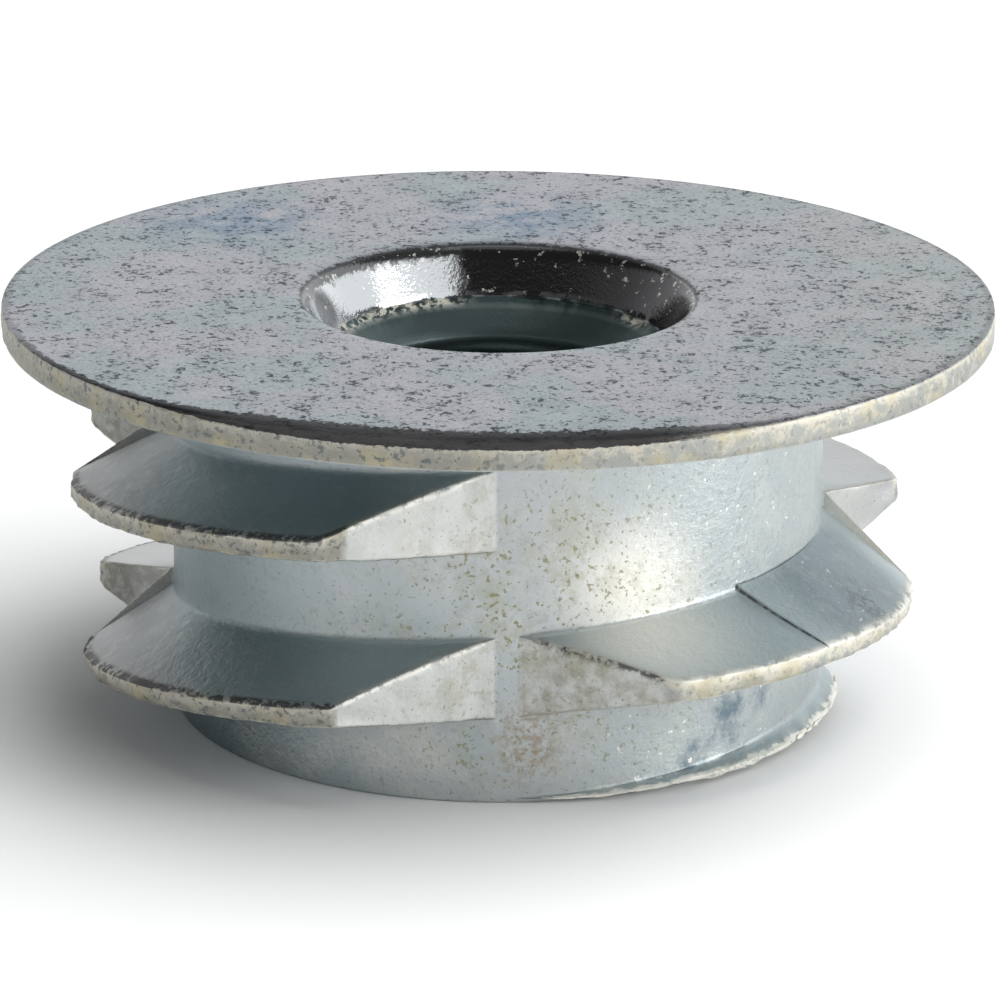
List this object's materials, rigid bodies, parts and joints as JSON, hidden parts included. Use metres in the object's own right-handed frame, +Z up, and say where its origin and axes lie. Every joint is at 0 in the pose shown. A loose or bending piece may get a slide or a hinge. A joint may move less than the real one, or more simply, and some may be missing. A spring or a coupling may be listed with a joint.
{
  "type": "flanged threaded insert",
  "caption": "Flanged wood insert: a short shank with broken coarse outer fins, a thin round flange and a threaded through bore.",
  "frame": {"origin": "centre of the foot, the end that goes into the wood first", "axes": "+Z up the bore to the flange, -Y towards the narrow gap between the rows of fins that faces the picture's viewer"},
  "size_m": [0.025, 0.025, 0.0105],
  "materials": {
    "insert_body": "bare cast zinc alloy, dulled and stained, with bright worn edges"
  },
  "bodies": {
    "root": {"insert_body": "insert_body"}
  },
  "joints": []
}
